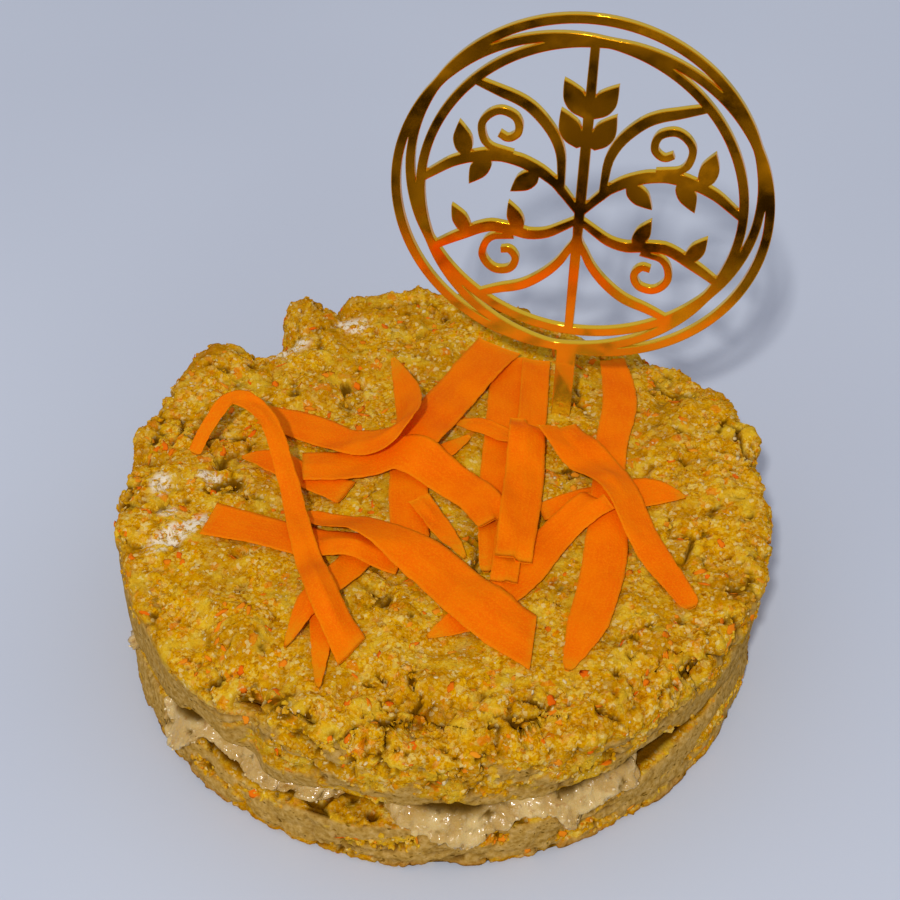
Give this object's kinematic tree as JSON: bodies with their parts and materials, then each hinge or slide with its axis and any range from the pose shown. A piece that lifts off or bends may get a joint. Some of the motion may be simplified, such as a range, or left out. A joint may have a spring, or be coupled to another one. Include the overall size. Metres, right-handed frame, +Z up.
{
  "type": "carrot layer cake with peanut filling",
  "caption": "Round sandwich cake with a peanut filling that oozes at the seam, carrot ribbons on its craggy top and a gold ring ornament on a stem.",
  "frame": {"origin": "middle of the cake's flat underside", "axes": "+Z up, the cake's front faces -Y, +X to the right seen from the front"},
  "size_m": [0.1986, 0.2007, 0.1918],
  "materials": {
    "crumb": "baked, coarse and porous",
    "filling": "wet, smeared paste",
    "carrot": "moist raw peel, faint grain",
    "gold": "mirror gold sheet with bright cut edges"
  },
  "bodies": {
    "root": {"base_layer": "crumb", "peanut_filling": "filling", "top_layer": "crumb", "carrot_ribbon_01": "carrot", "carrot_ribbon_02": "carrot", "carrot_ribbon_03": "carrot", "carrot_ribbon_04": "carrot", "carrot_ribbon_05": "carrot", "carrot_ribbon_06": "carrot", "carrot_ribbon_07": "carrot", "carrot_ribbon_08": "carrot", "carrot_ribbon_09": "carrot", "carrot_ribbon_10": "carrot", "carrot_ribbon_11": "carrot", "carrot_ribbon_12": "carrot", "carrot_ribbon_13": "carrot", "carrot_ribbon_14": "carrot", "carrot_ribbon_15": "carrot", "carrot_ribbon_16": "carrot", "carrot_ribbon_17": "carrot", "carrot_ribbon_18": "carrot", "carrot_ribbon_19": "carrot", "carrot_ribbon_20": "carrot", "ring_ornament": "gold"}
  },
  "joints": []
}
